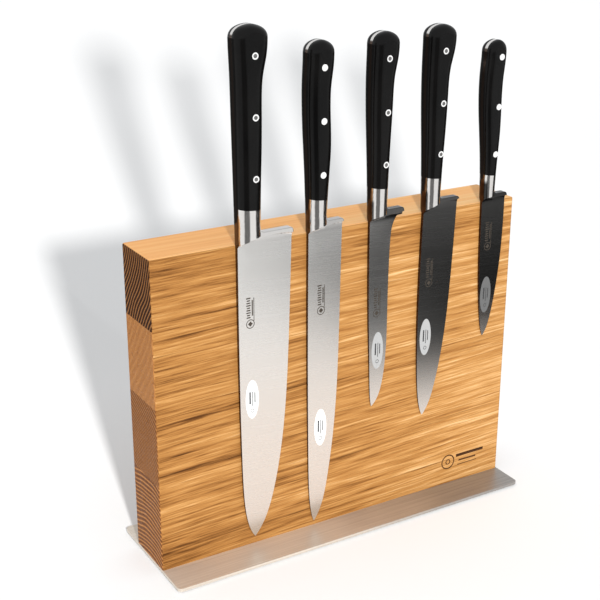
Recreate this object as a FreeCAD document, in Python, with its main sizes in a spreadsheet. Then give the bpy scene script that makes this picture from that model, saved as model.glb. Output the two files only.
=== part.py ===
import FreeCAD, Part
import math
import os

import Sketcher
from FreeCAD import Placement, Rotation, Vector

# Magnetic knife block: an upright board of four glued wooden staves on a steel foot plate, with
# rows of magnets hidden behind its front face, and five forged knives that hang on that face.
# Row frame in millimetres: +X along the board, +Y towards its back, +Z up. The origin is the
# centre of the foot plate, on the surface that the block stands on.

doc = FreeCAD.newDocument("magnetic_knife_block")
sheet = doc.addObject("Spreadsheet::Sheet", "Sizes")


# ---------------------------------------------------------------- sizes

class Size:
    """A length that carries both its number and the sheet formula that gives it."""

    def __init__(self, value, formula):
        self.value = value
        self.formula = formula

    @staticmethod
    def of(number):
        return number if isinstance(number, Size) else Size(float(number), repr(float(number)))

    def join(self, other, sign, value):
        return Size(value, f"({self.formula} {sign} {Size.of(other).formula})")

    def __add__(self, other):
        return self.join(other, "+", self.value + Size.of(other).value)

    def __sub__(self, other):
        return self.join(other, "-", self.value - Size.of(other).value)

    def __mul__(self, other):
        return self.join(other, "*", self.value * Size.of(other).value)

    def __truediv__(self, other):
        return self.join(other, "/", self.value / Size.of(other).value)

    def __neg__(self):
        return self * -1



CELLS = {}


def cell(alias, value):
    """Writes one named size in the sheet and returns it."""
    row = len(CELLS) + 1
    sheet.set(f"A{row}", alias)
    sheet.set(f"B{row}", str(value))
    sheet.setAlias(f"B{row}", alias)
    CELLS[alias] = Size(float(value), f"Sizes.{alias}")
    return CELLS[alias]


BOARD_LONG = cell("board_long", 265)
BOARD_DEEP = cell("board_deep", 39)
BOARD_FRONT = cell("board_front", -18)
BOARD_EASE = cell("board_ease", 1.2)
PLATE_DEEP = cell("plate_deep", 84)
PLATE_THICK = cell("plate_thick", 2)
PLATE_CORNER = cell("plate_corner", 3)
PAD_THICK = cell("pad_thick", 1)
PAD_WIDE = cell("pad_wide", 14)
PAD_INSET_X = cell("pad_inset_x", 15)
PAD_INSET_Y = cell("pad_inset_y", 12)
STAVE_HIGH = {
    "stave_bottom": cell("stave_bottom_high", 58),
    "stave_lower": cell("stave_lower_high", 52),
    "stave_upper": cell("stave_upper_high", 50),
    "stave_top": cell("stave_top_high", 44),
}
MAGNET_WIDE = cell("magnet_wide", 20)
MAGNET_THICK = cell("magnet_thick", 5)
MAGNET_PITCH = cell("magnet_pitch", 25)
MAGNET_SKIN = cell("magnet_skin", 2.2)
MAGNET_COUNT = 10
SCREW_SHANK = cell("screw_shank", 4)
SCREW_HEAD = cell("screw_head", 8)
SCREW_LONG = cell("screw_long", 30)
SCREW_INSET = cell("screw_inset", 32)

BLADE_GAP = cell("blade_gap", 0.3)
SHOULDER_LIFT = cell("shoulder_lift", 0.8)
TANG_THICK = cell("tang_thick", 2.4)
RIVET_WIDE = cell("rivet_wide", 4)
EDGE_THICK = cell("edge_thick", 0.4)
TIP_WIDE = cell("tip_wide", 0.6)
BLADE_ROOT = cell("blade_root", 3)
ROOT_COVER = cell("root_cover", 1.6)
HEEL_SET = cell("heel_set", 0.1)
GUARD_THICK = cell("guard_thick", 5.2)
GUARD_TUCK = cell("guard_tuck", 4)
GUARD_RIM = cell("guard_rim", 0.6)
GUARD_NOSE = cell("guard_nose", 2.4)
GUARD_THROAT = cell("guard_throat", 3.4)
SEAM_SLOPE = cell("seam_slope", 6)
FLOW_FACE = cell("flow_face", 0.2)
SPARE = cell("spare", 3)
CUTTER_WIDE = cell("cutter_wide", 30)
CUTTER_DEEP = cell("cutter_deep", 20)
CUTTER_HIGH = cell("cutter_high", 160)

# The groove that hollows the foot of a bolster or guard turns through FLOW_TURN degrees. The foot
# starts "drop" below the foot line and curves "rise" up and "out" to its full thickness.
FLOW_TURN = 100
BOLSTER_FLOW = {"drop": cell("bolster_drop", 3.5), "rise": cell("bolster_rise", 3.7),
                "out": cell("bolster_out", 7.2)}
GUARD_FLOW = {"drop": cell("guard_drop", 1), "rise": cell("guard_rise", 1.4),
              "out": cell("guard_out", 2.4)}

# Every knife has its own frame: x from the spine towards the edge, z up from the shoulder where
# the blade meets the bolster, y = 0 in the middle of the steel. Blade outlines are control points,
# as fractions of the blade's depth and length measured down from the shoulder. The edge starts at
# the guard's end, "reach". The foot line of bolster and guard is an arc of radius "arch" whose
# highest point is at (crest_x, crest_z).
KNIVES = {
    "chef": {
        "at": -77.4, "long": 198.6, "deep": 38.3, "reach": 38.0, "spine": 2.8, "lean": 1.7,
        "handle": 127.5, "seam": 21.9, "neck": 15.0, "grip": 16.1, "waist": 16.2, "butt": 20.4,
        "bow": 0.5, "back": 1.3, "neck_thick": 13.5, "butt_thick": 16.0, "round": 5.8, "rivet": 9.8,
        "guard_top": 5.6, "arch": 71, "crest_x": 26.4, "crest_z": 1.9,
        "edge_shape": [(0.94, 0.30), (0.882, 0.60), (0.643, 0.86), (0.455, 0.96)],
        "spine_shape": [(0.0, 0.0), (-0.01, 0.40), (0.02, 0.75), (0.06, 0.95)],
        "tip": 0.255, "rivet_heights": (0.31, 0.59, 0.86),
    },
    "carving": {
        "at": -28.9, "long": 200.7, "deep": 25.6, "reach": 25.3, "spine": 2.4, "lean": 2.2,
        "handle": 115.5, "seam": 21.1, "neck": 12.2, "grip": 15.3, "waist": 13.5, "butt": 15.9,
        "bow": 2.1, "back": 1.2, "neck_thick": 12.5, "butt_thick": 15.0, "round": 5.3, "rivet": 6.9,
        "guard_top": 5.9, "arch": 89, "crest_x": 28, "crest_z": 2.5,
        "edge_shape": [(0.94, 0.30), (0.906, 0.60), (0.625, 0.86), (0.46, 0.96)],
        "spine_shape": [(0.0, 0.0), (-0.02, 0.40), (0.03, 0.75), (0.045, 0.95)],
        "tip": 0.215, "rivet_heights": (0.31, 0.59, 0.86),
    },
    "boning": {
        "at": 15.7, "long": 127.6, "deep": 16.4, "reach": 25.8, "spine": 2.2, "lean": 2.5,
        "handle": 117.2, "seam": 21.9, "neck": 11.8, "grip": 12.4, "waist": 13.5, "butt": 17.1,
        "bow": 1.8, "back": 1.3, "neck_thick": 12.0, "butt_thick": 15.0, "round": 5.1, "rivet": 7.45,
        "guard_top": 6.3, "arch": 117, "crest_x": 27, "crest_z": 2.0,
        "edge_shape": [(1.12, 0.01), (1.022, 0.09), (0.99, 0.25), (0.966, 0.46),
                       (0.995, 0.66), (0.85, 0.88), (0.605, 0.97)],
        "spine_shape": [(0.0, 0.0), (-0.015, 0.40), (0.165, 0.75), (0.18, 0.95)],
        "tip": 0.30, "rivet_heights": (0.31, 0.585, 0.86),
    },
    "utility": {
        "at": 56.8, "long": 144.1, "deep": 28.0, "reach": 27.9, "spine": 2.2, "lean": 1.9,
        "handle": 118.6, "seam": 23.0, "neck": 11.6, "grip": 13.0, "waist": 13.6, "butt": 18.1,
        "bow": 1.8, "back": 1.5, "neck_thick": 12.0, "butt_thick": 15.0, "round": 5.1, "rivet": 7.7,
        "guard_top": 7.4, "arch": 60, "crest_x": 25.5, "crest_z": 4.1,
        "edge_shape": [(0.923, 0.30), (0.825, 0.60), (0.555, 0.86), (0.39, 0.96)],
        "spine_shape": [(0.0, 0.0), (-0.07, 0.40), (-0.04, 0.75), (0.05, 0.95)],
        "tip": 0.197, "rivet_heights": (0.32, 0.59, 0.861),
    },
    "paring": {
        "at": 104.2, "long": 96.0, "deep": 20.4, "reach": 20.2, "spine": 1.8, "lean": 2.0,
        "handle": 106.0, "seam": 18.6, "neck": 8.9, "grip": 10.7, "waist": 9.5, "butt": 11.1,
        "bow": 4.1, "back": 3.0, "neck_thick": 9.5, "butt_thick": 12.5, "round": 4.0, "rivet": 5.55,
        "guard_top": 4.7, "arch": 95, "crest_x": 16.4, "crest_z": 0.9,
        "edge_shape": [(1.01, 0.30), (0.875, 0.60), (0.67, 0.86), (0.515, 0.96)],
        "spine_shape": [(0.0, 0.0), (0.01, 0.40), (0.10, 0.75), (0.24, 0.95)],
        "tip": 0.353, "rivet_heights": (0.303, 0.595, 0.893),
    },
}
SHAPE_KEYS = ("edge_shape", "spine_shape", "tip", "rivet_heights")


# ---------------------------------------------------------------- drawing helpers

def origin_plane(body, role):
    """One of the body's own origin planes."""
    return next(feature for feature in body.Origin.OriginFeatures if feature.Role == role)


def new_body(name):
    return doc.addObject("PartDesign::Body", name)


def new_sketch(body, name, role, offset=None):
    """A sketch on one of the body's origin planes."""
    sketch = body.newObject("Sketcher::SketchObject", name)
    sketch.AttachmentSupport = (origin_plane(body, role), [""])
    sketch.MapMode = "FlatFace"
    if offset is not None:
        sketch.AttachmentOffset = offset
    return sketch


def bind_constraint(sketch, kind, where, size):
    """Adds one dimension to a sketch and ties it to its formula."""
    index = sketch.addConstraint(Sketcher.Constraint(kind, *where, size.value))
    sketch.setExpression(f"Constraints[{index}]", size.formula)


def locate(sketch, geometry, point, x, y):
    """Fixes one point of the sketch by its two distances from the origin."""
    for kind, axis, size in (("DistanceX", -2, x), ("DistanceY", -1, y)):
        if abs(size.value) < 1e-9:
            sketch.addConstraint(Sketcher.Constraint("PointOnObject", geometry, point, axis))
        else:
            bind_constraint(sketch, kind, (-1, 1, geometry, point), size)


def draw_stroke(sketch, points):
    """A straight line between two points, or a smooth curve with the points as its poles."""
    spots = [Vector(x.value, y.value, 0) for x, y in points]
    if len(points) == 2:
        line = sketch.addGeometry(Part.LineSegment(spots[0], spots[1]), False)
        locate(sketch, line, 1, *points[0])
        return line
    curve = Part.BSplineCurve(spots, None, None, False, min(3, len(spots) - 1), None, False)
    stroke = sketch.addGeometry(curve, False)
    sketch.exposeInternalGeometry(stroke)
    poles = [index for index in range(stroke + 1, sketch.GeometryCount)
             if isinstance(sketch.Geometry[index], Part.Circle)]
    for pole, (x, y) in list(zip(poles, points))[:-1]:
        locate(sketch, pole, 3, x, y)
    return stroke


def draw_loop(sketch, *strokes):
    """A closed outline: each stroke starts where the one before it ends."""
    strokes = [[(Size.of(x), Size.of(y)) for x, y in stroke] for stroke in strokes]
    drawn = [draw_stroke(sketch, stroke) for stroke in strokes]
    for here, after in zip(drawn, drawn[1:] + drawn[:1]):
        sketch.addConstraint(Sketcher.Constraint("Coincident", here, 2, after, 1))


def draw_polygon(sketch, points):
    draw_loop(sketch, *[[here, after] for here, after in zip(points, points[1:] + points[:1])])


def pad(body, name, sketch, length, side="One side"):
    feature = body.newObject("PartDesign::Pad", name)
    feature.Profile = sketch
    feature.SideType = side
    feature.setExpression("Length", Size.of(length).formula)
    return feature


def pocket_through(body, name, sketch):
    """Cuts the sketch right through the body, both ways from its plane."""
    feature = body.newObject("PartDesign::Pocket", name)
    feature.Profile = sketch
    feature.SideType = "Symmetric"
    feature.Type = "ThroughAll"
    return feature


def fillet(body, name, base, edges, radius):
    feature = body.newObject("PartDesign::Fillet", name)
    feature.Base = (base, edges)
    feature.setExpression("Radius", Size.of(radius).formula)
    return feature


def edges_where(feature, test):
    """Names of the edges of a feature's shape that pass a test."""
    doc.recompute([feature])
    return [f"Edge{number}" for number, edge in enumerate(feature.Shape.Edges, 1) if test(edge)]


def box(name, long, deep, high, corner):
    """A Part box, sized and placed by formulas."""
    block = doc.addObject("Part::Box", name)
    for key, size in (("Length", long), ("Width", deep), ("Height", high)):
        block.setExpression(key, Size.of(size).formula)
    place(block, corner)
    return block


def cylinder(name, radius, height, base, rotation=None):
    rod = doc.addObject("Part::Cylinder", name)
    rod.setExpression("Radius", Size.of(radius).formula)
    rod.setExpression("Height", Size.of(height).formula)
    if rotation is not None:
        rod.Placement = Placement(Vector(), rotation)
    place(rod, base)
    return rod


def place(obj, corner):
    """Ties an object's position to formulas and leaves its rotation alone."""
    for key, size in zip("xyz", corner):
        obj.setExpression(f"Placement.Base.{key}", Size.of(size).formula)


def combine(kind, name, pieces):
    """A Part boolean or compound of several objects."""
    feature = doc.addObject(kind, name)
    if kind == "Part::Compound":
        feature.Links = pieces
    elif kind in ("Part::Cut", "Part::Common"):
        feature.Base, feature.Tool = pieces
    else:
        feature.Shapes = pieces
    if hasattr(feature, "Refine"):
        feature.Refine = False
    return feature


NODES = []
# The most that a rivet may share with a scale, in mm3, before its hole counts as missing.
HOLE_SLACK = 5
# Turns a pin's own seam, in degrees, away from the edges of the scales that it goes through.
PIN_SEAM = 35


def node(obj, label, solids=1):
    """Marks an object as one of the real pieces, whose label names its file."""
    obj.Label = label
    NODES.append((obj, solids))
    return obj


# ---------------------------------------------------------------- the block

def screw_places():
    """Where the screws go up through the foot plate: two by two, under the board."""
    middle = BOARD_FRONT + BOARD_DEEP / 2
    inset_y = BOARD_DEEP / 4
    for x in (-(BOARD_LONG / 2 - SCREW_INSET), BOARD_LONG / 2 - SCREW_INSET):
        for y in (middle - inset_y, middle + inset_y):
            yield x, y


def make_screws(prefix):
    """Four countersunk wood screws: a head flush with the plate and a plain shank."""
    screws = []
    for number, (x, y) in enumerate(screw_places(), 1):
        head = doc.addObject("Part::Cone", f"{prefix}_head_{number}")
        head.setExpression("Radius1", (SCREW_HEAD / 2).formula)
        head.setExpression("Radius2", (SCREW_SHANK / 2).formula)
        head.setExpression("Height", PLATE_THICK.formula)
        place(head, (x, y, PAD_THICK))
        shank = cylinder(f"{prefix}_shank_{number}", SCREW_SHANK / 2, SCREW_LONG - PLATE_THICK,
                         (x, y, PAD_THICK + PLATE_THICK))
        screws.append(combine("Part::MultiFuse", f"{prefix}_{number}", [head, shank]))
    return combine("Part::Compound", prefix, screws)


def make_foot_plate(screws):
    """A flat steel plate with rounded corners and countersunk screw holes."""
    body = new_body("plate_blank")
    sketch = new_sketch(body, "plate_outline", "XY_Plane")
    x, y = BOARD_LONG / 2, PLATE_DEEP / 2
    draw_polygon(sketch, [(-x, -y), (x, -y), (x, y), (-x, y)])
    slab = pad(body, "plate_slab", sketch, PLATE_THICK)
    corners = edges_where(slab, lambda edge: edge.Length < PLATE_THICK.value * 1.5)
    fillet(body, "plate_corners", slab, corners, PLATE_CORNER)
    place(body, (0, 0, PAD_THICK))
    node(combine("Part::Cut", "foot_plate", [body, screws]), "foot_plate")


def make_pads():
    """Four thin round anti-slip pads glued under the plate."""
    x = BOARD_LONG / 2 - PAD_INSET_X
    y = PLATE_DEEP / 2 - PAD_INSET_Y
    discs = []
    for number, (sx, sy) in enumerate(((-1, -1), (1, -1), (-1, 1), (1, 1)), 1):
        discs.append(cylinder(f"pad_{number}", PAD_WIDE / 2, PAD_THICK, (x * sx, y * sy, 0)))
    node(combine("Part::Compound", "anti_slip_pads", discs), "anti_slip_pads", len(discs))


def is_upright(edge):
    return abs(edge.BoundBox.ZLength - edge.Length) < 1e-6


def make_stave(name, base, high, pockets, rounded_top):
    """One stave of the board, lying along X, with its corners eased."""
    body = new_body(f"{name}_blank")
    sketch = new_sketch(body, f"{name}_section", "XY_Plane")
    x = BOARD_LONG / 2
    back = BOARD_FRONT + BOARD_DEEP
    draw_polygon(sketch, [(-x, BOARD_FRONT), (x, BOARD_FRONT), (x, back), (-x, back)])
    feature = pad(body, f"{name}_bar", sketch, high)
    corners = edges_where(feature, is_upright)
    feature = fillet(body, f"{name}_ease", feature, corners, BOARD_EASE)
    if rounded_top:
        top = edges_where(feature, lambda edge: edge.BoundBox.ZMin > high.value - 1e-3)
        feature = fillet(body, f"{name}_top_ease", feature, top, BOARD_EASE)
    if pockets:
        make_magnet_pockets(body, name, high)
    place(body, (0, 0, base))
    return body


def magnet_corner():
    """The first magnet's left front corner."""
    first = -(MAGNET_PITCH * ((MAGNET_COUNT - 1) / 2)) - MAGNET_WIDE / 2
    return first, BOARD_FRONT + MAGNET_SKIN


def make_magnet_pockets(body, name, high):
    """A row of pockets milled down into the stave's top, just behind the board's front face."""
    doc.recompute()
    solid_volume = body.Shape.Volume
    top = Placement(Vector(0, 0, high.value), Rotation())
    sketch = new_sketch(body, f"{name}_pocket", "XY_Plane", top)
    sketch.setExpression("AttachmentOffset.Base.z", high.formula)
    x, y = magnet_corner()
    draw_polygon(sketch, [(x, y), (x + MAGNET_WIDE, y), (x + MAGNET_WIDE, y + MAGNET_THICK),
                          (x, y + MAGNET_THICK)])
    cut = body.newObject("PartDesign::Pocket", f"{name}_milled")
    cut.Profile = sketch
    cut.setExpression("Length", MAGNET_WIDE.formula)
    row = body.newObject("PartDesign::LinearPattern", f"{name}_pocket_row")
    row.Originals = [cut]
    row.Direction = (sketch, ["H_Axis"])
    row.setExpression("Length", (MAGNET_PITCH * (MAGNET_COUNT - 1)).formula)
    row.Occurrences = MAGNET_COUNT
    body.Tip = row
    doc.recompute()
    milled = solid_volume - body.Shape.Volume
    wanted = MAGNET_COUNT * MAGNET_WIDE.value ** 2 * MAGNET_THICK.value
    if abs(milled - wanted) > 1:
        raise SystemExit(f"{name}: the magnet pockets took {milled:.0f} mm3, not {wanted:.0f}")


def make_magnets(name, glue_line):
    """A row of square block magnets whose tops are level with a glue line."""
    x, y = magnet_corner()
    magnets = [box(f"{name}_{number}", MAGNET_WIDE, MAGNET_THICK, MAGNET_WIDE,
                   (x + MAGNET_PITCH * number, y, glue_line - MAGNET_WIDE))
               for number in range(MAGNET_COUNT)]
    node(combine("Part::Compound", name, magnets), name, MAGNET_COUNT)


def make_board(screw_holes):
    """The four staves from the bottom up, and the magnets between them."""
    base = PAD_THICK + PLATE_THICK
    for name, high in STAVE_HIGH.items():
        pockets = name in ("stave_lower", "stave_upper")
        body = make_stave(name, base, high, pockets, name == "stave_top")
        if name == "stave_bottom":
            body = combine("Part::Cut", "stave_bottom", [body, screw_holes])
        node(body, name)
        base = base + high
        if pockets:
            make_magnets(name.replace("stave", "magnets"), base)
    return base


# ---------------------------------------------------------------- the knives

def knife_sizes(knife, form):
    """Writes a knife's own dimensions in the sheet."""
    return {key: cell(f"{knife}_{key}", value) for key, value in form.items()
            if key not in SHAPE_KEYS}


def spline_edge(points):
    curve = Part.BSplineCurve(points, None, None, False, min(3, len(points) - 1), None, False)
    return curve.toShape()


def blade_outline(form, own):
    """The spine's and the edge's control points, (x, z), from inside the bolster to the tip."""
    long, deep = own["long"].value, own["deep"].value
    tip, half_tip = form["tip"] * deep, TIP_WIDE.value / 2
    spine = [(x * deep, -down * long) for x, down in form["spine_shape"]]
    edge = [(x * deep, -down * long) for x, down in form["edge_shape"]]
    spine[0] = (0, BLADE_ROOT.value)
    heel = ((own["reach"] - HEEL_SET).value, (own["guard_top"] - ROOT_COVER).value)
    return spine + [(tip - half_tip, -long)], [heel] + edge + [(tip + half_tip, -long)]


def make_blade(knife, form, own):
    """The ground blade: both sides are ruled from the thick spine to the thin edge."""
    spine_points, edge_points = blade_outline(form, own)
    edge_half = EDGE_THICK.value / 2
    spine_half = own["spine"].value / 2

    def half_at(z):
        taper = max(0, -z / own["long"].value) ** 2
        return edge_half + (spine_half - edge_half) * (1 - taper)

    def spine_side(sign):
        return spline_edge([Vector(x, sign * half_at(z), z) for x, z in spine_points])

    def edge_side(sign):
        return spline_edge([Vector(x, sign * edge_half, z) for x, z in edge_points])

    front = Part.makeRuledSurface(spine_side(-1), edge_side(-1))
    rear = Part.makeRuledSurface(spine_side(1), edge_side(1))
    spine = Part.makeRuledSurface(spine_side(-1), spine_side(1))
    edge = Part.makeRuledSurface(edge_side(-1), edge_side(1))
    caps = []
    for s, e in ((spine_points[0], edge_points[0]), (spine_points[-1], edge_points[-1])):
        corners = [Vector(s[0], -half_at(s[1]), s[1]), Vector(e[0], -edge_half, e[1]),
                   Vector(e[0], edge_half, e[1]), Vector(s[0], half_at(s[1]), s[1])]
        caps.append(Part.Face(Part.makePolygon(corners + corners[:1])))
    skin = Part.makeShell([front, rear, spine, edge] + caps)
    skin.sewShape()
    blade = doc.addObject("Part::Feature", f"{knife}_ground_blade")
    solid = Part.Solid(Part.Shell(skin.Faces))
    if solid.Volume < 0:
        solid.reverse()
    blade.Shape = solid
    return blade


def foot_line(own, x):
    """Height of the arched foot line of bolster and guard at a distance x from the spine."""
    off = Size.of(x) - own["crest_x"]
    return own["crest_z"] - off * off / (own["arch"] * 2)


def cut_foot(body, name, own, flow, half_thick):
    """Hollows the foot of a bolster or guard along its arc, so that it flows into the blade."""
    arch = own["arch"]
    sketch = new_sketch(body, f"{name}_flow", "YZ_Plane", Placement())
    sketch.setExpression("AttachmentOffset.Base.y", (own["crest_z"] - arch).formula)
    sketch.setExpression("AttachmentOffset.Base.z", own["crest_x"].formula)
    foot, top = arch - flow["drop"], arch + flow["rise"]
    low = foot - SPARE
    for side in (-1, 1):
        face = FLOW_FACE * side
        out = (FLOW_FACE + flow["out"]) * side
        far = (Size.of(half_thick) + FLOW_FACE + flow["out"]) * side
        draw_loop(sketch, [(face, foot), (face, top), (out, top)], [(out, top), (far, top)],
                  [(far, top), (far, low)], [(far, low), (face, low)], [(face, low), (face, foot)])
    groove = body.newObject("PartDesign::Groove", f"{name}_foot")
    groove.Profile = sketch
    groove.ReferenceAxis = (sketch, ["H_Axis"])
    groove.Midplane = True
    groove.Angle = FLOW_TURN


def make_handle_blank(knife, own):
    """Bolster and handle in one smooth piece, later parted into bolster, tang and two scales."""
    high, neck, grip, waist = own["handle"], own["neck"], own["grip"], own["waist"]
    butt, bow, back = own["butt"], own["bow"], own["back"]
    left, right = high - 8.6, high - 8.3
    body = new_body(f"{knife}_handle_blank")
    side_view = new_sketch(body, f"{knife}_handle_side", "XZ_Plane")
    low_spine = (0, foot_line(own, 0) - BOLSTER_FLOW["drop"])
    low_neck = (neck, foot_line(own, neck) - BOLSTER_FLOW["drop"])
    draw_loop(
        side_view,
        [low_spine, (0, high * 0.25), (-bow, high * 0.55), (-(bow * 1.05), high * 0.80),
         (-back, high * 0.88), (-back, left)],
        [(-back, left), (-back, high - 3.6), (butt * 0.35, high - 0.4), (butt * 0.67, high - 0.9),
         (butt, high - 4.4), (butt, right)],
        [(butt, right), (butt, high * 0.86), (waist, high * 0.78), (waist, high * 0.62),
         (grip, high * 0.42), (neck, high * 0.20), low_neck],
        [low_neck, low_spine],
    )
    blank = pad(body, f"{knife}_handle_slab", side_view, own["butt_thick"] + SPARE, "Symmetric")

    edge_view = new_sketch(body, f"{knife}_handle_edge_view", "YZ_Plane")
    thin, thick = own["neck_thick"] / 2, own["butt_thick"] / 2
    far = thick + SPARE
    bottom, top = foot_line(own, 0) - BOLSTER_FLOW["drop"] - SPARE, high + SPARE
    for side in (-1, 1):
        draw_loop(
            edge_view,
            [(thin * side, bottom), (thin * side, high * 0.25), (thick * side, high * 0.45),
             (thick * side, top)],
            [(thick * side, top), (far * side, top)],
            [(far * side, top), (far * side, bottom)],
            [(far * side, bottom), (thin * side, bottom)],
        )
    blank = pocket_through(body, f"{knife}_handle_taper", edge_view)

    def runs_along_handle(edge):
        crosswise = edge.BoundBox.YLength > own["neck_thick"].value / 4
        foot = edge.BoundBox.ZMax < 0
        return not crosswise and not foot

    long_edges = edges_where(blank, runs_along_handle)
    fillet(body, f"{knife}_handle_round", blank, long_edges, own["round"])
    cut_foot(body, f"{knife}_bolster", own, BOLSTER_FLOW, thick)
    return body


def make_guard(knife, own):
    """The finger guard, from inside the bolster out to the heel."""
    body = new_body(f"{knife}_guard")
    sketch = new_sketch(body, f"{knife}_guard_side", "XZ_Plane")
    neck, reach, top = own["neck"], own["reach"], own["guard_top"]
    inside, throat, nose = neck - GUARD_TUCK, neck + GUARD_THROAT, reach - GUARD_NOSE
    tucked_top, wall = top + GUARD_TUCK, neck - GUARD_RIM
    tucked_low = foot_line(own, inside) - GUARD_FLOW["drop"]
    heel = foot_line(own, reach) - GUARD_FLOW["drop"]
    draw_loop(
        sketch,
        [(inside, tucked_top), (wall, tucked_top)],
        [(wall, tucked_top), (neck, top), (throat, top)],
        [(throat, top), (nose, top)],
        [(nose, top), (reach, top), (reach, top - GUARD_NOSE)],
        [(reach, top - GUARD_NOSE), (reach, heel)],
        [(reach, heel), (inside, tucked_low)],
        [(inside, tucked_low), (inside, tucked_top)],
    )
    slab = pad(body, f"{knife}_guard_slab", sketch, GUARD_THICK, "Symmetric")

    def is_rim(edge):
        """The long edges of the guard's top and nose, outside the bolster."""
        spot = edge.BoundBox
        lengthwise = spot.YLength < 1e-3
        return lengthwise and spot.XMin > neck.value - 1 and spot.ZMax > (top - GUARD_NOSE).value - 0.2

    fillet(body, f"{knife}_guard_rim", slab, edges_where(slab, is_rim), GUARD_RIM)
    cut_foot(body, f"{knife}_guard", own, GUARD_FLOW, GUARD_THICK / 2)
    return body


def seam_box(knife, own, name, front, deep, above):
    """A cutting box whose lower or upper face lies in the sloping seam below the scales."""
    body = new_body(f"{knife}_{name}")
    sketch = new_sketch(body, f"{knife}_{name}_side", "XZ_Plane")
    left, right = -CUTTER_WIDE, CUTTER_WIDE
    end = CUTTER_HIGH if above else -CUTTER_HIGH
    fall = math.tan(math.radians(SEAM_SLOPE.value))
    low_left, low_right = own["seam"] - left * fall, own["seam"] - right * fall
    draw_polygon(sketch, [(left, low_left), (right, low_right), (right, end), (left, end)])
    sketch.setExpression("AttachmentOffset.Base.z", (-front).formula)
    slab = pad(body, f"{knife}_{name}_slab", sketch, deep)
    slab.Reversed = True
    return body


def make_rivets(knife, form, own):
    """Three pins through the scales and the tang."""
    half = own["butt_thick"] / 2 + 2
    along_y = Rotation(Vector(1, 0, 0), -90) * Rotation(Vector(0, 0, 1), PIN_SEAM)
    pins = [cylinder(f"{knife}_pin_{number}", RIVET_WIDE / 2, half * 2,
                     (own["rivet"], -half, own["handle"] * height), along_y)
            for number, height in enumerate(form["rivet_heights"], 1)]
    return combine("Part::Compound", f"{knife}_pins", pins)


def hang(knife, own, obj, board_top):
    """Puts a finished piece of a knife in its place on the board's front face."""
    lean = Rotation(Vector(0, 0, 1), own["lean"].value)
    obj.Placement = Placement(Vector(), lean)
    place(obj, (own["at"], BOARD_FRONT - BLADE_GAP - own["spine"] / 2, board_top + SHOULDER_LIFT))


def make_knife(knife, form, board_top):
    """One forging with blade, bolster, guard and full tang, two scales and three rivets."""
    own = knife_sizes(knife, form)
    blank = make_handle_blank(knife, own)
    pins = make_rivets(knife, form, own)
    half_tang = TANG_THICK / 2
    scale_deep = CUTTER_DEEP - half_tang
    below = seam_box(knife, own, "below_seam", -CUTTER_DEEP, CUTTER_DEEP * 2, False)
    tang_slab = seam_box(knife, own, "tang_slab", -half_tang, TANG_THICK, True)
    front_side = seam_box(knife, own, "front_side", -CUTTER_DEEP, scale_deep, True)
    back_side = seam_box(knife, own, "back_side", half_tang, scale_deep, True)

    bolster = combine("Part::Common", f"{knife}_bolster_part", [blank, below])
    tang = combine("Part::Common", f"{knife}_tang_part", [blank, tang_slab])
    drilled = combine("Part::Cut", f"{knife}_drilled_tang", [tang, pins])
    parts = [make_blade(knife, form, own), make_guard(knife, own), bolster, drilled]
    forging = combine("Part::MultiFuse", f"{knife}_blade", parts)
    pieces = [node(forging, f"{knife}_blade")]
    for side, slab in (("front", front_side), ("back", back_side)):
        scale = combine("Part::Common", f"{knife}_{side}_slab", [blank, slab])
        drilled = combine("Part::Cut", f"{knife}_{side}_scale", [scale, pins])
        pieces.append(node(drilled, f"{knife}_{side}_scale"))
    trimmed = [combine("Part::Common", f"{knife}_rivet_{number}", [blank, pin])
               for number, pin in enumerate(pins.Links, 1)]
    rivets = combine("Part::Compound", f"{knife}_rivets", trimmed)
    pieces.append(node(rivets, f"{knife}_rivets", len(pins.Links)))
    for piece in pieces:
        hang(knife, own, piece, board_top)


# ---------------------------------------------------------------- build, check and write

screws = make_screws("plate_screws")
make_foot_plate(screws)
node(screws, "plate_screws", len(screws.Links))
make_pads()
board_top = make_board(screws)
for knife, form in KNIVES.items():
    make_knife(knife, form, board_top)
doc.recompute()

faults = [obj.Name for obj in doc.Objects if {"Invalid", "Error"} & set(obj.State)]
faults += [obj.Label for obj, solids in NODES
           if obj.Shape.isNull() or not obj.Shape.isValid() or len(obj.Shape.Solids) != solids]
if faults:
    raise SystemExit("not built: " + ", ".join(faults))

shapes = {obj.Label: obj.Shape for obj, solids in NODES}
undrilled = [f"{knife}_{side}_scale" for knife in KNIVES for side in ("front", "back")
             if shapes[f"{knife}_{side}_scale"].common(shapes[f"{knife}_rivets"]).Volume > HOLE_SLACK]
if undrilled:
    raise SystemExit("rivet holes missing: " + ", ".join(undrilled))

os.makedirs("parts", exist_ok=True)
for obj, solids in NODES:
    obj.Shape.exportStep(os.path.join("parts", f"{obj.Label}.step"))
    bounds = obj.Shape.BoundBox
    print(f"{obj.Label:22s} {solids:2d} solids {obj.Shape.Volume:11.0f} mm3  "
          f"x {bounds.XMin:7.1f} {bounds.XMax:7.1f}  y {bounds.YMin:6.1f} {bounds.YMax:6.1f}  "
          f"z {bounds.ZMin:6.1f} {bounds.ZMax:6.1f}")
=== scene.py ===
import math

import bpy
from mathutils import Matrix, Vector


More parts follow.
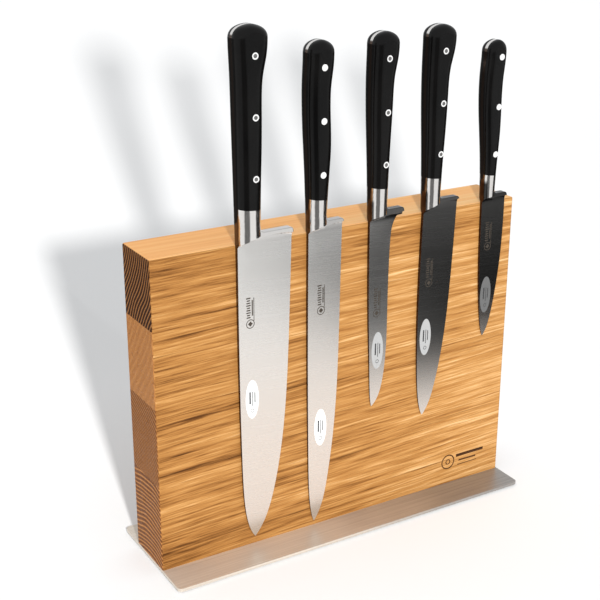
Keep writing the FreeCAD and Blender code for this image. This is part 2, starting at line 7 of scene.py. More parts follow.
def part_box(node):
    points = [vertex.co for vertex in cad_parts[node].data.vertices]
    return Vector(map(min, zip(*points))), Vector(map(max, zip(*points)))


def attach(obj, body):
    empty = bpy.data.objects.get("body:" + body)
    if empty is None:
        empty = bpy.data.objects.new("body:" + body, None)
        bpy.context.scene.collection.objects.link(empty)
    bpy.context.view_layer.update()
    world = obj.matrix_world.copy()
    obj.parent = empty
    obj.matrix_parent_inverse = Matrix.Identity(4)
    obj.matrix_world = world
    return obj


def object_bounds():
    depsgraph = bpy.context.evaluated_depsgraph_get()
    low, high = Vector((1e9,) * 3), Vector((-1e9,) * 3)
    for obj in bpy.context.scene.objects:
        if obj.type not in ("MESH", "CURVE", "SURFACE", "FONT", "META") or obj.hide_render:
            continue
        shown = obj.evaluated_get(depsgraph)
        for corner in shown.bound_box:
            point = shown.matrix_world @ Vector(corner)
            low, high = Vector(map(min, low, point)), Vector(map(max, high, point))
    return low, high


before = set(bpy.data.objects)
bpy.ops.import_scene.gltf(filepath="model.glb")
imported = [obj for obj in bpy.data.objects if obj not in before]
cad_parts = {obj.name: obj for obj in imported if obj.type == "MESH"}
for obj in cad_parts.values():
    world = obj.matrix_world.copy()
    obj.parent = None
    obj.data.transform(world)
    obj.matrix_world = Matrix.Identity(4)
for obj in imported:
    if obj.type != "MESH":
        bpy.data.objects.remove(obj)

# Looks of a magnetic knife block: an oak board on a steel foot plate, and five forged knives with
# black riveted handles. Metres, in the CAD frame: X along the board, Y towards its back, Z up.

cad_low, cad_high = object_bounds()

KNIVES = ("chef", "carving", "boning", "utility", "paring")
STAVES = ("stave_bottom", "stave_lower", "stave_upper", "stave_top")
BOARD_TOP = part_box("stave_top")[1].z
# The knives whose rivets are punched in the middle.
PUNCHED = ("chef", "boning", "utility")
MM = 0.001


# ---------------------------------------------------------------- shader nodes

class Wire:
    """An output socket of a shader node that can be used in sums."""

    def __init__(self, finish, socket):
        self.finish = finish
        self.socket = socket

    def math(self, operation, *values):
        return self.finish.math_of(operation, *values)

    def __add__(self, other):
        return self.math("ADD", self, other)

    def __sub__(self, other):
        return self.math("SUBTRACT", self, other)

    def __rsub__(self, other):
        return self.math("SUBTRACT", other, self)

    def __mul__(self, other):
        return self.math("MULTIPLY", self, other)

    def __truediv__(self, other):
        return self.math("DIVIDE", self, other)

    def __pow__(self, other):
        return self.math("POWER", self, other)

    def __abs__(self):
        return self.math("ABSOLUTE", self)

    __radd__ = __add__
    __rmul__ = __mul__

    def fraction(self):
        return self.math("FRACT", self)

    def clear_of(self, start, end):
        """0 below start and 1 above end, with a smooth step between them."""
        settings = {"interpolation_type": "SMOOTHSTEP"}
        return self.finish.node("ShaderNodeMapRange", settings, {0: self, 1: start, 2: end})


class Finish:
    """A material and the nodes that feed its shader."""

    def __init__(self, name, **sockets):
        self.material = bpy.data.materials.new(name)
        self.material.use_nodes = True
        self.tree = self.material.node_tree
        self.shader = self.tree.nodes["Principled BSDF"]
        self.feed(**sockets)

    def feed(self, **sockets):
        """Sets or links the shader's sockets, named with _ for each space."""
        for name, value in sockets.items():
            self.plug(self.shader.inputs[name.replace("_", " ")], value)

    def plug(self, socket, value):
        if isinstance(value, Wire):
            self.tree.links.new(value.socket, socket)
        else:
            socket.default_value = value

    def node(self, kind, settings=None, sockets=None, output=0):
        """Any node: its settings first, then the values or links of its sockets."""
        made = self.tree.nodes.new(kind)
        for key, value in (settings or {}).items():
            if key == "stops":
                self.set_stops(made.color_ramp, value)
            else:
                setattr(made, key, value)
        for key, value in (sockets or {}).items():
            self.plug(made.inputs[key], value)
        return Wire(self, made.outputs[output])

    def set_stops(self, ramp, stops):
        while len(ramp.elements) < len(stops):
            ramp.elements.new(1.0)
        for element, (place, colour) in zip(ramp.elements, stops):
            element.position = place
            element.color = (*colour, 1)

    def place(self):
        """The point on the piece, in metres."""
        return self.node("ShaderNodeTexCoord", output="Object")

    def facing(self):
        """The surface's direction, in the piece's own axes."""
        return self.node("ShaderNodeTexCoord", output="Normal")

    def axis(self, vector, letter):
        return self.node("ShaderNodeSeparateXYZ", sockets={0: vector}, output=letter)

    def math_of(self, operation, *values):
        return self.node("ShaderNodeMath", {"operation": operation}, dict(enumerate(values)))

    def along(self, vector, direction):
        """How far a point lies along a direction."""
        return self.node("ShaderNodeVectorMath", {"operation": "DOT_PRODUCT"},
                         {0: vector, 1: direction}, "Value")

    def point(self, x, y, z):
        return self.node("ShaderNodeCombineXYZ", sockets={0: x, 1: y, 2: z})

    def scaled(self, vector, scale):
        return self.node("ShaderNodeVectorMath", {"operation": "MULTIPLY"}, {0: vector, 1: scale})

    def shifted(self, vector, shift):
        return self.node("ShaderNodeVectorMath", {"operation": "ADD"}, {0: vector, 1: shift})

    def grain(self, vector, per_metre, detail=3.0, roughness=0.55):
        """Noise from 0 to 1 with so many cells to the metre along each axis."""
        return self.node("ShaderNodeTexNoise", {"noise_dimensions": "3D"},
                         {"Vector": self.scaled(vector, per_metre), "Scale": 1.0,
                          "Detail": detail, "Roughness": roughness})

    def blend(self, share, colour_a, colour_b, way="MIX"):
        pair = [value if isinstance(value, Wire) else (*value, 1) for value in (colour_a, colour_b)]
        return self.node("ShaderNodeMix", {"data_type": "RGBA", "blend_type": way},
                         {0: share, 6: pair[0], 7: pair[1]}, 2)

    def ramp(self, value, stops):
        return self.node("ShaderNodeValToRGB", {"stops": stops}, {0: value})

    def bump(self, height, depth, strength=1.0):
        """Relief: height from 0 to 1 stands for a depth in metres."""
        return self.node("ShaderNodeBump",
                         sockets={"Strength": strength, "Distance": depth, "Height": height})


def dimmed(colour, share):
    """A colour at a share of its brightness."""
    return tuple(part * share for part in colour)


# ---------------------------------------------------------------- finishes of the block

# Each stave is cut from its own log: where the heart of the log lies, (y, z) in metres, how wide a
# year's ring is in millimetres, how bright its end is, how faint the rings are there, where along
# the log it was cut, and how steeply the grain climbs to the right.
LOGS = {
    "stave_top": {"heart": (0.085, 0.235), "ring": 2.6, "end": 0.36, "soft": 0.0, "cut": 0.0,
                  "slope": 0.008},
    "stave_upper": {"heart": (0.120, 0.225), "ring": 4.6, "end": 0.56, "soft": 0.88, "cut": 3.1,
                    "slope": 0.018},
    "stave_lower": {"heart": (0.050, 0.020), "ring": 2.6, "end": 0.46, "soft": 0.50, "cut": 5.7,
                    "slope": 0.030},
    "stave_bottom": {"heart": (0.004, -0.030), "ring": 3.0, "end": 0.56, "soft": 0.40, "cut": 8.3,
                     "slope": 0.034},
}

# The side's colour against its tone, from the dark cracks to the bright painted glints.
OAK_TONES = (
    (0.16, (0.085, 0.030, 0.007)),
    (0.30, (0.235, 0.096, 0.023)),
    (0.43, (0.370, 0.164, 0.043)),
    (0.57, (0.465, 0.225, 0.066)),
    (0.70, (0.585, 0.315, 0.116)),
    (0.86, (0.750, 0.480, 0.230)),
)


def oak(stave):
    """Brushed oak: rings, fibres and streaks that run along the stave, and darker ends; painted
    light brightens the planed top, adds glints and lightens the right end.
    """
    log = LOGS[stave]
    heart_y, heart_z = log["heart"]
    finish = Finish(f"oak_{stave}")
    spot = finish.shifted(finish.place(), (log["cut"], 0, 0))
    rise = finish.along(spot, (-log["slope"], 0, 1)) + log["slope"] * log["cut"]
    depth = finish.axis(spot, "Y")
    lie = finish.point(finish.axis(spot, "X"), depth, rise)

    sway_y = finish.grain(lie, (3, 16, 16), 2.0) - 0.5
    sway_z = finish.grain(finish.shifted(lie, (7, 3, 5)), (3, 16, 16), 2.0) - 0.5
    from_heart_y = depth - heart_y + sway_y * 0.012
    from_heart_z = rise - heart_z + sway_z * 0.016
    radius = (from_heart_y ** 2 + from_heart_z ** 2) ** 0.5
    year = (radius / (log["ring"] * MM)).fraction()
    late_wood = year ** 4

    wavy = finish.point(finish.axis(spot, "X"), depth, rise + sway_z * 0.008)
    bands = finish.grain(wavy, (2.5, 60, 60), 3.0)
    streaks = finish.grain(wavy, (9, 280, 280), 3.0)
    fibres = finish.grain(wavy, (35, 1000, 1000), 3.0, 0.6)
    cracks = finish.grain(finish.shifted(wavy, (2, 6, 4)), (7, 260, 260), 1.0)
    crack = cracks.clear_of(0.66, 0.80)
    # Painted highlights: small bright flecks in the wood's colour, also raised a little in the
    # relief.
    painted_glints = finish.grain(finish.shifted(wavy, (9, 1, 8)), (12, 420, 420), 2.0).clear_of(0.62, 0.78)
    tone = (bands - 0.5) * 0.50 + (streaks - 0.5) * 0.95 + (fibres - 0.5) * 0.85 + 0.50
    tone = tone - late_wood * 0.06 - crack * 0.14 + painted_glints * 0.14
    # Painted light: the sides are painted lighter towards the right end of the board.
    tone = tone + (finish.axis(spot, "X") - log["cut"]) * 0.6 + 0.02

    facing = finish.facing()
    end = abs(finish.axis(facing, "X")).clear_of(0.5, 0.9)
    top = finish.axis(facing, "Z").clear_of(0.5, 0.9)
    side_colour = finish.ramp(tone, OAK_TONES)
    # The top is planed, with less relief than the sides, and painted brighter than them: painted
    # light from above.
    planed_top_painted_light = finish.ramp(bands * 0.6 + streaks * 0.3 + 0.08, (
        (0.30, (0.82, 0.37, 0.120)), (0.50, (0.98, 0.50, 0.185)), (0.68, (1.0, 0.62, 0.27))))
    pores = finish.grain(spot, (300, 700, 700), 2.0)
    rings = (abs(year - 0.5) * -2 + 1).clear_of(0.05, 0.65)
    end_tone = rings * 0.75 * (1 - log["soft"]) + pores * 0.22 + log["soft"] * 0.10
    end_colour = finish.ramp(end_tone, (
        (0.10, dimmed((1.0, 0.45, 0.140), log["end"])),
        (0.45, dimmed((0.52, 0.18, 0.045), log["end"])),
        (0.75, (0.036, 0.010, 0.002))))
    colour = finish.blend(top * 0.9, side_colour, planed_top_painted_light)
    colour = finish.blend(end, colour, end_colour)
    relief = streaks * 0.40 + fibres * 0.42 - late_wood * 0.20 + bands * 0.10
    relief = relief - crack * 0.5 + painted_glints * 0.2
    flat = 1 - top * 0.8
    finish.feed(
        Base_Color=colour,
        Roughness=0.62 - tone * 0.25,
        Specular_IOR_Level=0.12,
        Normal=finish.bump(relief * flat, 1.7 * MM, 0.85),
    )
    return finish.material


def plate_steel():
    """Satin stainless, brushed along the plate, with painted reflections: warm beige of the wood at
    its left end, darker and duller towards its right end.
    """
    finish = Finish("plate_steel")
    spot = finish.place()
    brushing = finish.grain(spot, (14, 1500, 1500), 3.0, 0.6)
    clouds = finish.grain(spot, (18, 30, 30), 2.0)
    # Painted reflection: this mask paints the plate darker towards its right end.
    dull = (finish.axis(spot, "X") + (clouds - 0.5) * 0.08).clear_of(-0.06, 0.12)
    # Painted reflection: the warm beige is the wood's reflection, the grey-brown the darker one at
    # the right end.
    bright = finish.ramp(brushing, ((0.3, (0.60, 0.53, 0.45)), (0.7, (0.76, 0.69, 0.60))))
    painted_dark_reflection = finish.ramp(brushing, ((0.3, (0.28, 0.265, 0.25)), (0.7, (0.42, 0.40, 0.38))))
    finish.feed(
        Base_Color=finish.blend(dull, bright, painted_dark_reflection),
        Metallic=0.50 + dull * 0.2,
        Roughness=0.36 + brushing * 0.12 - clouds * 0.06,
        Normal=finish.bump(brushing, 0.05 * MM, 0.35),
    )
    return finish.material


def screw_steel():
    """Zinc-plated screws, with fine turning marks."""
    finish = Finish("screw_steel", Metallic=1.0)
    turning = finish.grain(finish.place(), (300, 300, 2400), 2.0)
    finish.feed(
        Base_Color=finish.ramp(turning, ((0.3, (0.42, 0.42, 0.40)), (0.7, (0.62, 0.62, 0.60)))),
        Roughness=0.30 + turning * 0.15,
        Normal=finish.bump(turning, 0.03 * MM, 0.4),
    )
    return finish.material


def pad_rubber():
    """Matt grey anti-slip rubber with a fine pebbled face."""
    finish = Finish("pad_rubber", Specular_IOR_Level=0.3)
    pebbles = finish.grain(finish.place(), (1400, 1400, 1400), 2.0)
    finish.feed(
        Base_Color=finish.ramp(pebbles, (
            (0.3, (0.020, 0.020, 0.021)), (0.7, (0.045, 0.045, 0.047)))),
        Roughness=0.75 + pebbles * 0.15,
        Normal=finish.bump(pebbles, 0.08 * MM, 0.6),
    )
    return finish.material


def magnet_nickel():
    """Nickel-plated magnets, slightly clouded."""
    finish = Finish("magnet_nickel", Metallic=1.0)
    clouds = finish.grain(finish.place(), (220, 220, 220), 3.0)
    finish.feed(
        Base_Color=finish.ramp(clouds, ((0.3, (0.52, 0.50, 0.46)), (0.7, (0.68, 0.66, 0.61)))),
        Roughness=0.18 + clouds * 0.14,
    )
    return finish.material


# ---------------------------------------------------------------- finishes of the knives

# Painted reflections: how bright each blade's steel is painted near its guard, the heights in
# metres between which it dims from the bright tip, and how bright its guard is painted.
BLADE_PAINTED_REFLECTIONS = {"chef": (1.18, 0.06, 0.20, 0.78), "carving": (1.0, 0.06, 0.20, 0.60),
          "boning": (0.46, 0.065, 0.150, 0.12), "utility": (0.18, 0.050, 0.125, 0.10),
          "paring": (0.14, 0.105, 0.150, 0.05)}
# The y of the guards' front, which stands out less than the bolsters'.
GUARD_FACE = -0.0222


def knife_steel(knife):
    """One forging: a satin blade, a polished bolster, guard and tang, painted reflections that
    darken blade and guard, and a spine painted dark.
    """
    bright, light_below, painted_dark_above, guard_painted_tone = BLADE_PAINTED_REFLECTIONS[knife]
    finish = Finish(f"{knife}_steel", Metallic=1.0)
    spot = finish.place()
    height = finish.axis(spot, "Z")
    polished = height.clear_of(BOARD_TOP - 1.5 * MM, BOARD_TOP + 2.0 * MM)
    across = finish.along(spot, (0.10, 0, 1))
    lie = finish.point(finish.axis(spot, "X"), finish.axis(spot, "Y"), across)
    grinding = finish.grain(lie, (12, 12, 900), 2.0, 0.5)
    passes = finish.grain(finish.shifted(lie, (3, 1, 2)), (8, 8, 120), 2.0)
    marks = grinding * 0.5 + passes * 0.5
    upper = finish.ramp(marks, (
        (0.25, dimmed((0.70, 0.685, 0.66), bright)), (0.75, dimmed((0.75, 0.735, 0.71), bright))))
    lower = finish.ramp(marks, ((0.25, (0.83, 0.75, 0.68)), (0.75, (0.87, 0.79, 0.72))))
    # Painted reflection: the blade is painted darker above a height and lighter towards its tip.
    ground = finish.blend(height.clear_of(light_below, painted_dark_above), lower, upper)
    guard = finish.axis(spot, "Y").clear_of(GUARD_FACE - 1.4 * MM, GUARD_FACE - 0.6 * MM)
    guard = guard * (1 - height.clear_of(BOARD_TOP + 13 * MM, BOARD_TOP + 17 * MM))
    # Painted reflection: the guard is painted darker, most on the knives to the right.
    shoulder = finish.blend(guard, (0.90, 0.87, 0.84), dimmed((1.0, 0.97, 0.94), guard_painted_tone))
    bare = finish.blend(polished, ground, shoulder)
    # Painted shade and reflection: the faces towards -X, on the spine and the tang's side, are
    # painted dark brown.
    painted_dark_spine = (finish.axis(finish.facing(), "X") * -1).clear_of(0.92, 0.98)
    finish.feed(
        Base_Color=finish.blend(painted_dark_spine * 0.96, bare, (0.060, 0.032, 0.020)),
        Roughness=(0.22 + marks * 0.10) * (1 - polished) + polished * 0.10,
        Normal=finish.bump(marks * (1 - polished), 0.012 * MM, 0.2),
    )
    return finish.material


def handle_black(knife):
    """Moulded black plastic, polished, with a faint ripple."""
    finish = Finish(f"{knife}_handle_black", Specular_IOR_Level=0.20)
    spot = finish.place()
    ripple = finish.grain(spot, (120, 120, 40), 2.0)
    handling = finish.grain(finish.shifted(spot, (1, 2, 3)), (60, 60, 25), 3.0)
    finish.feed(
        Base_Color=finish.ramp(handling, (
            (0.35, (0.0016, 0.0015, 0.0015)), (0.75, (0.0042, 0.0038, 0.0036)))),
        Roughness=0.14 + handling * 0.12,
        Normal=finish.bump(ripple, 0.05 * MM, 0.12),
    )
    return finish.material


def rivet_steel():
    """Rivets filed flush and bright, their near-white colour partly a painted highlight."""
    finish = Finish("rivet_steel", Metallic=0.45)
    filing = finish.grain(finish.place(), (500, 500, 1800), 2.0)
    finish.feed(
        # Painted highlight: the steel is painted near white, brighter than bare steel.
        Base_Color=finish.ramp(filing, ((0.3, (0.90, 0.89, 0.88)), (0.7, (0.98, 0.98, 0.97)))),
        Roughness=0.26 + filing * 0.14,
        Normal=finish.bump(filing, 0.03 * MM, 0.5),
    )
    return finish.material


def punched_steel():
    """The dull middle of a rivet, rough from the punch."""
    finish = Finish("punched_steel", Metallic=1.0)
    pits = finish.grain(finish.place(), (2600, 2600, 2600), 2.0)
    finish.feed(
        Base_Color=finish.ramp(pits, ((0.3, (0.16, 0.155, 0.15)), (0.7, (0.46, 0.45, 0.44)))),
        Roughness=0.35 + pits * 0.2,
        Normal=finish.bump(pits, 0.05 * MM, 0.6),
    )
    return finish.material


# How white each label is: some are printed on clear film, and the dark reflection of the steel
# behind them is painted into their colour.
LABEL_TONES_WITH_PAINTED_REFLECTION = {"chef": 0.86, "carving": 0.86, "boning": 0.40, "utility": 0.40, "paring": 0.13}


def label_paper(knife):
    """Glossy label film."""
    # This tone holds a painted reflection of the dark steel on the knives to the right.
    white = LABEL_TONES_WITH_PAINTED_REFLECTION[knife]
    finish = Finish(f"{knife}_label_paper", Specular_IOR_Level=0.5)
    fibres = finish.grain(finish.place(), (900, 900, 900), 3.0)
    finish.feed(
        Base_Color=finish.ramp(fibres, (
            (0.3, dimmed((0.95, 0.96, 0.95), white)), (0.7, dimmed((1.03, 1.03, 1.03), white)))),
        Roughness=0.32 + fibres * 0.15,
        Normal=finish.bump(fibres, 0.02 * MM, 0.3),
    )
    return finish.material


def label_ink():
    """Black print, slightly thin in places."""
    finish = Finish("label_ink")
    cover = finish.grain(finish.place(), (1600, 1600, 1600), 2.0)
    finish.feed(
        Base_Color=finish.ramp(cover, ((0.35, (0.012, 0.012, 0.014)), (0.8, (0.10, 0.10, 0.10)))),
        Roughness=0.40 + cover * 0.2,
    )
    return finish.material


def etched_steel():
    """Steel darkened and roughened by etching."""
    finish = Finish("etched_steel", Metallic=0.6)
    bite = finish.grain(finish.place(), (2200, 2200, 2200), 2.0)
    finish.feed(
        Base_Color=finish.ramp(bite, ((0.3, (0.045, 0.036, 0.028)), (0.75, (0.15, 0.125, 0.10)))),
        Roughness=0.55 + bite * 0.2,
        Normal=finish.bump(bite, 0.03 * MM, 0.6),
    )
    return finish.material


def burnt_wood():
    """Wood scorched by a hot iron, lighter where the grain resisted."""
    finish = Finish("burnt_wood", Specular_IOR_Level=0.2)
    spot = finish.place()
    grain = finish.grain(spot, (40, 900, 900), 3.0)
    finish.feed(
        Base_Color=finish.ramp(grain, (
            (0.35, (0.022, 0.009, 0.004)), (0.75, (0.16, 0.065, 0.022)))),
        Roughness=0.80 + grain * 0.1,
        Normal=finish.bump(grain, 0.3 * MM, 0.7),
    )
    return finish.material


def paint_nodes():
    """Gives every CAD node its finish."""
    finishes = {stave: oak(stave) for stave in STAVES}
    finishes["foot_plate"] = plate_steel()
    finishes["plate_screws"] = screw_steel()
    finishes["anti_slip_pads"] = pad_rubber()
    finishes["magnets_lower"] = finishes["magnets_upper"] = magnet_nickel()
    rivets = rivet_steel()
    for knife in KNIVES:
        finishes[f"{knife}_blade"] = knife_steel(knife)
        black = handle_black(knife)
        finishes[f"{knife}_front_scale"] = finishes[f"{knife}_back_scale"] = black
        finishes[f"{knife}_rivets"] = rivets
    for name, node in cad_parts.items():
        node.data.materials.clear()
        node.data.materials.append(finishes[name])
    return rivets


# ---------------------------------------------------------------- modelling helpers

def start_piece(name, add, **settings):
    """Adds one primitive with nothing else selected, and names it."""
    bpy.ops.object.select_all(action="DESELECT")
    add(**settings)
    piece = bpy.context.object
    piece.name = name
    return piece


def open_piece(piece, action):
    """Opens a piece in edit mode, by faces, with all or none of it selected."""
    bpy.context.view_layer.objects.active = piece
    bpy.ops.object.mode_set(mode="EDIT")
    bpy.ops.mesh.select_mode(type="FACE")
    bpy.ops.mesh.select_all(action=action)


def pick_faces(piece, test):
    """Selects the faces that pass a test, and stays in edit mode."""
    open_piece(piece, "DESELECT")
    bpy.ops.object.mode_set(mode="OBJECT")
    for face in piece.data.polygons:
        face.select = test(face)
    bpy.ops.object.mode_set(mode="EDIT")


def close(piece):
    """Leaves edit mode."""
    bpy.ops.object.mode_set(mode="OBJECT")
    return piece


def apply_place(piece):
    """Moves a piece's place, turn and size into its mesh."""
    piece.data.transform(piece.matrix_world)
    piece.matrix_world = Matrix.Identity(4)
    return piece


def join(name, pieces):
    """Makes several pieces one object."""
    bpy.ops.object.select_all(action="DESELECT")
    for piece in pieces:
        piece.select_set(True)
    bpy.context.view_layer.objects.active = pieces[0]
    bpy.ops.object.join()
    pieces[0].name = name
    return pieces[0]


def copy_of(piece, name):
    """A copy with its own mesh."""
    twin = piece.copy()
    twin.data = piece.data.copy()
    twin.name = name
    bpy.context.scene.collection.objects.link(twin)
    return twin


def front_of(node, x, z):
    """The y of a CAD node's front surface at one place, or None beside it."""
    start = Vector((x, cad_low.y - 0.1, z))
    hit, spot, *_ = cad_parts[node].ray_cast(start, Vector((0, 1, 0)))
    return spot.y if hit else None


def lay_on(piece, node, x, z):
    """Moves a flat piece, modelled about the origin facing -Y, onto a CAD node's front."""
    piece.data.transform(Matrix.Translation((x, 0, z)))
    middle = front_of(node, x, z)
    for vertex in piece.data.vertices:
        surface = front_of(node, vertex.co.x, vertex.co.z)
        vertex.co.y += middle if surface is None else surface
    piece.data.update()
    return piece


def finish_piece(piece, material, body):
    """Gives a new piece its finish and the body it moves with."""
    piece.data.materials.clear()
    piece.data.materials.append(material)
    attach(piece, body)


def plain_bar(name, x, z, wide, high, thick):
    """A thin bar with a bevelled front, its back in the plane y = 0."""
    bar = start_piece(name, bpy.ops.mesh.primitive_cube_add, size=1,
                      location=(x, -thick / 2, z), scale=(wide, thick, high))
    apply_place(bar)
    pick_faces(bar, lambda face: face.normal.y < -0.5)
    bpy.ops.mesh.bevel(offset=min(wide, high, thick) * 0.25, segments=2, affect="EDGES")
    return close(bar)


def plain_ring(name, x, z, radius, width, thick):
    """A flattened ring, its back near the plane y = 0."""
    ring = start_piece(name, bpy.ops.mesh.primitive_torus_add, major_radius=radius,
                       minor_radius=width / 2, major_segments=40, minor_segments=8,
                       location=(x, -thick / 2, z), rotation=(math.pi / 2, 0, 0))
    apply_place(ring)
    open_piece(ring, "SELECT")
    bpy.ops.transform.resize(value=(1, thick / width, 1), center_override=(x, -thick / 2, z))
    return close(ring)


# ---------------------------------------------------------------- labels and marks

LABEL_WIDE = 9.4 * MM
LABEL_HIGH = 26.0 * MM
# How thick the label's film, its print and the etched marks, and the burnt mark are.
PAPER = 0.10 * MM
INK = 0.03 * MM
CHAR = 0.05 * MM

# Where each knife's label and etched mark sit, and where the burnt mark's ring does, (x, z) in
# metres.
LABELS = {"chef": (-0.0688, 0.1065), "carving": (-0.0190, 0.0745), "boning": (0.0243, 0.1190),
          "utility": (0.0624, 0.1207), "paring": (0.1121, 0.1414)}
ETCHINGS = {"chef": (-0.0694, 0.1643), "carving": (-0.0192, 0.1631), "boning": (0.0230, 0.1530),
            "utility": (0.0634, 0.1665), "paring": (0.1114, 0.1837)}
BURNT_MARK = (0.0880, 0.0195)


def model_label():
    """An oval label with a softly rounded rim, facing -Y at the origin."""
    label = start_piece("label", bpy.ops.mesh.primitive_cylinder_add, vertices=64, radius=0.5,
                        depth=1, rotation=(math.pi / 2, 0, 0))
    label.data.transform(Matrix.Diagonal((LABEL_WIDE, PAPER / 2, LABEL_HIGH, 1)) @
                         Matrix.Translation((0, -0.5, 0)) @ label.matrix_world)
    label.matrix_world = Matrix.Identity(4)
    pick_faces(label, lambda face: face.normal.y < -0.5)
    bpy.ops.mesh.inset(thickness=PAPER / 2)
    bpy.ops.transform.translate(value=(0, -PAPER / 2, 0))
    bpy.ops.mesh.inset(thickness=0.5 * MM)
    bpy.ops.mesh.inset(thickness=1.4 * MM)
    return close(label)


def model_print():
    """The label's print: three plain bars of different lengths and a small ring."""
    bars = ((-1.6, 1.2, 1.1, 8.2), (0.3, 0.4, 0.5, 9.8), (1.9, 1.0, 0.7, 7.0))
    parts = [plain_bar("print", x * MM, z * MM, wide * MM, high * MM, INK)
             for x, z, wide, high in bars]
    parts.append(plain_ring("print_ring", 0, -7.6 * MM, 1.1 * MM, 0.35 * MM, INK))
    lines = join("print", parts)
    lines.data.transform(Matrix.Translation((0, -PAPER, 0)))
    return lines


def model_etching():
    """An etched ornament: two rules, a row of ticks of three lengths, and a ringed diamond."""
    parts = [plain_bar("etching", 2.6 * MM, 1.5 * MM, 0.45 * MM, 15 * MM, INK),
             plain_bar("rule", 1.5 * MM, 2.5 * MM, 0.8 * MM, 10 * MM, INK)]
    for number in range(9):
        long = (3.0, 2.2, 2.7)[number % 3] * MM
        parts.append(plain_bar("tick", -1.2 * MM, (9.0 - number * 1.55) * MM, long, 0.8 * MM, INK))
    diamond = plain_bar("diamond", 0, 0, 2.4 * MM, 2.4 * MM, INK)
    ring_z = -7.6 * MM
    turn = Matrix.Rotation(math.pi / 4, 4, "Y")
    diamond.data.transform(Matrix.Translation((0, 0, ring_z)) @ turn)
    ring = plain_ring("ring", 0, ring_z, 2.7 * MM, 0.5 * MM, INK)
    return join("etching", parts + [diamond, ring])


def dress_blades():
    """Puts a label and an etched mark on every blade."""
    label, lines, etching = model_label(), model_print(), model_etching()
    ink, etched = label_ink(), etched_steel()
    for knife in KNIVES:
        blade, body = f"{knife}_blade", f"{knife}_knife"
        for model, piece_name, material, spots in (
                (label, "label", label_paper(knife), LABELS), (lines, "label_print", ink, LABELS),
                (etching, "etching", etched, ETCHINGS)):
            piece = lay_on(copy_of(model, f"{knife}_{piece_name}"), blade, *spots[knife])
            finish_piece(piece, material, body)
    for model in (label, lines, etching):
        bpy.data.objects.remove(model)


def model_burnt_mark():
    """A burnt ornament: a ring round a small ring, and three plain rules beside them."""
    parts = [plain_ring("burnt_ring", 0, 0, 5.2 * MM, 0.9 * MM, CHAR),
             plain_ring("burnt_dot", 0, 0, 1.7 * MM, 0.8 * MM, CHAR)]
    for x, z, wide, high in ((19, 3.2, 24, 2.2), (17, -1.0, 15, 1.3), (17, -4.2, 17, 0.5)):
        parts.append(plain_bar("burnt_bar", x * MM, z * MM, wide * MM, high * MM, CHAR))
    return join("burnt_mark", parts)


def burn_board():
    """Puts the burnt mark low on the board, near its right end."""
    mark = lay_on(model_burnt_mark(), "stave_bottom", *BURNT_MARK)
    finish_piece(mark, burnt_wood(), "block")


# ---------------------------------------------------------------- rivets

RIVET_RADIUS = 1.95 * MM
DIMPLE_RADIUS = 1.18 * MM
# Rivets of one knife are further apart than this, and their front ends are this deep.
RIVET_GAP = 5 * MM
RIVET_END = 1.0 * MM


def loose_groups(node):
    """The corners of each separate solid of a CAD node, told apart by their height."""
    corners = sorted((vertex.co.copy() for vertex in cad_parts[node].data.vertices),
                     key=lambda co: co.z)
    groups = [[corners[0]]]
    for co in corners[1:]:
        if co.z - groups[-1][-1].z > RIVET_GAP:
            groups.append([])
        groups[-1].append(co)
    return groups


def model_rivet_head():
    """A rivet's dished head, 4 mm wide: a raised rim round a shallow hollow."""
    head = start_piece("rivet_head", bpy.ops.mesh.primitive_cylinder_add, vertices=40,
                       radius=RIVET_RADIUS, depth=0.16 * MM, rotation=(math.pi / 2, 0, 0))
    apply_place(head)
    pick_faces(head, lambda face: face.normal.y < -0.5)
    bpy.ops.mesh.inset(thickness=0.12 * MM)
    bpy.ops.transform.translate(value=(0, -0.08 * MM, 0))
    bpy.ops.mesh.inset(thickness=0.48 * MM)
    bpy.ops.mesh.inset(thickness=0.15 * MM)
    bpy.ops.transform.translate(value=(0, 0.12 * MM, 0))
    bpy.ops.mesh.inset(thickness=0.35 * MM)
    return close(head)


def model_dimple():
    """The dull punched centre of a rivet, a low dome."""
    dimple = start_piece("dimple", bpy.ops.mesh.primitive_cylinder_add, vertices=32,
                         radius=DIMPLE_RADIUS, depth=0.13 * MM, rotation=(math.pi / 2, 0, 0))
    apply_place(dimple)
    pick_faces(dimple, lambda face: face.normal.y < -0.5)
    bpy.ops.mesh.inset(thickness=0.35 * MM)
    bpy.ops.transform.translate(value=(0, -0.04 * MM, 0))
    bpy.ops.mesh.inset(thickness=0.3 * MM)
    bpy.ops.transform.translate(value=(0, -0.02 * MM, 0))
    return close(dimple)


def set_rivets(material):
    """A dished head on the front end of every rivet, punched in the middle on three knives."""
    head, dimple, dull = model_rivet_head(), model_dimple(), punched_steel()
    for knife in KNIVES:
        heads, dimples = [], []
        for corners in loose_groups(f"{knife}_rivets"):
            front = min(co.y for co in corners)
            face = [co for co in corners if co.y < front + RIVET_END]
            x = (min(co.x for co in face) + max(co.x for co in face)) / 2
            z = (min(co.z for co in face) + max(co.z for co in face)) / 2
            place = Matrix.Translation((x, front_of(f"{knife}_rivets", x, z), z))
            heads.append(copy_of(head, f"{knife}_rivet_heads"))
            heads[-1].data.transform(place)
            if knife in PUNCHED:
                dimples.append(copy_of(dimple, f"{knife}_rivet_dimples"))
                dimples[-1].data.transform(place)
        finish_piece(join(f"{knife}_rivet_heads", heads), material, f"{knife}_knife")
        if dimples:
            centres = join(f"{knife}_rivet_dimples", dimples)
            finish_piece(centres, dull, f"{knife}_knife")
    for model in (head, dimple):
        bpy.data.objects.remove(model)


# ---------------------------------------------------------------- floor, lights and camera

def lay_floor():
    """A wide matt white floor."""
    floor = start_piece("floor", bpy.ops.mesh.primitive_plane_add, size=30)
    finish = Finish("floor_white", Base_Color=(0.84, 0.84, 0.84, 1), Roughness=0.7,
                    Specular_IOR_Level=0.2)
    floor.data.materials.append(finish.material)


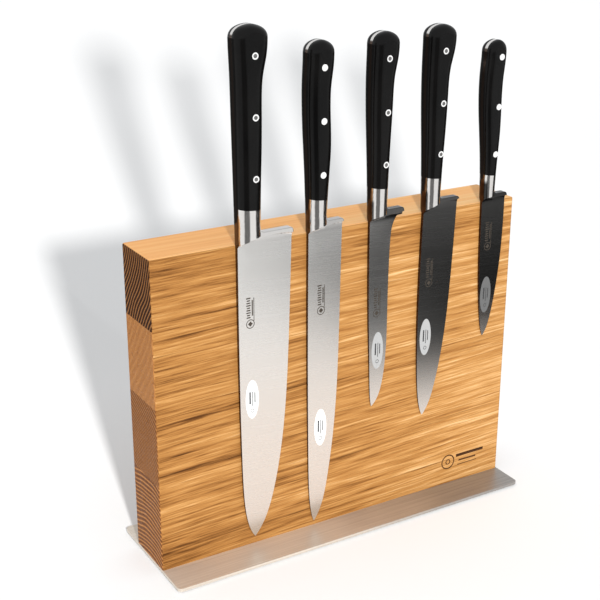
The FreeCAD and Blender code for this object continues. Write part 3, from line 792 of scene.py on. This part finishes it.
def lay_reflections():
    """The dark parts of the room, seen only as reflections: right of the block, behind its left
    end, and in front of it."""
    sheet = start_piece("dark_room", bpy.ops.mesh.primitive_plane_add, size=8)
    sheet.data.transform(Matrix.Translation((0, 0, 1.5 * MM)))
    finish = Finish("dark_room", Roughness=1.0, Specular_IOR_Level=0.0,
                    Base_Color=(0.012, 0.010, 0.009, 1))
    spot = finish.place()
    x, y = finish.axis(spot, "X"), finish.axis(spot, "Y")
    away = (x ** 2 + y ** 2) ** 0.5
    turn = finish.math_of("ARCTAN2", x * -1, y * -1)
    right = x.clear_of(0.165, 0.345) * y.clear_of(-0.53, -0.49) * (1 - y.clear_of(0.5, 1.6))
    front = turn.clear_of(-0.30, -0.12) * (1 - turn.clear_of(0.62, 0.90))
    front = front * away.clear_of(0.50, 0.56)
    behind = turn.clear_of(1.95, 2.25) * away.clear_of(0.25, 0.35)
    far = away.clear_of(0.22, 0.60) * 0.06
    cover = 1 - (1 - right) * (1 - front * 0.85) * (1 - behind * 0.9) * (1 - far)
    finish.feed(Alpha=cover * 0.975)
    sheet.data.materials.append(finish.material)
    sheet.visible_camera = sheet.visible_diffuse = sheet.visible_shadow = False


def add_lamp(name, place, aim, size, watts, colour):
    """A round lamp, turned towards a point."""
    bpy.ops.object.light_add(type="AREA", location=place)
    lamp = bpy.context.object
    lamp.name = name
    lamp.rotation_euler = (Vector(aim) - Vector(place)).to_track_quat("-Z", "Y").to_euler()
    lamp.data.shape = "DISK"
    lamp.data.size = size
    lamp.data.energy = watts
    lamp.data.color = colour
    return lamp


def light_studio():
    """A white room, and a small lamp beside the camera that throws the long shadows."""
    world = bpy.data.worlds.new("studio")
    bpy.context.scene.world = world
    world.use_nodes = True
    backdrop = world.node_tree.nodes["Background"]
    backdrop.inputs["Color"].default_value = (0.97, 0.985, 1.0, 1)
    backdrop.inputs["Strength"].default_value = 0.76
    lamp = add_lamp("key", (-0.318, -0.736, 0.448), (0.0, 0.1, 0.05), 0.045, 12.3, (1, 0.992, 0.98))
    make_far_reaching(lamp)
    lamp.visible_glossy = False
    bpy.context.scene.view_settings.view_transform = "Standard"


def make_far_reaching(lamp):
    """Lets a lamp light the far floor as well as the near one, so that far shadows show."""
    lamp.data.use_nodes = True
    tree = lamp.data.node_tree
    falloff = tree.nodes.new("ShaderNodeLightFalloff")
    falloff.inputs["Strength"].default_value = 1.0
    product = tree.nodes.new("ShaderNodeMath")
    product.operation = "MULTIPLY"
    tree.links.new(falloff.outputs["Constant"], product.inputs[0])
    tree.links.new(falloff.outputs["Linear"], product.inputs[1])
    tree.links.new(product.outputs[0], tree.nodes["Emission"].inputs["Strength"])


def set_camera():
    """Looks down on the board from its front left."""
    place = Vector((-0.3836, -0.6118, 0.4212))
    azimuth, elevation = math.radians(-30.54), math.radians(20.42)
    level = math.cos(elevation)
    back = Vector((math.sin(azimuth) * level, -math.cos(azimuth) * level, math.sin(elevation)))
    bpy.ops.object.camera_add(location=place)
    camera = bpy.context.object
    camera.rotation_euler = (-back).to_track_quat("-Z", "Y").to_euler()
    camera.data.sensor_width = 36
    camera.data.lens = 71.67
    camera.data.clip_start = 0.01
    camera.data.clip_end = 60
    bpy.context.scene.camera = camera


rivet_finish = paint_nodes()
dress_blades()
burn_board()
set_rivets(rivet_finish)
lay_floor()
lay_reflections()
light_studio()
set_camera()
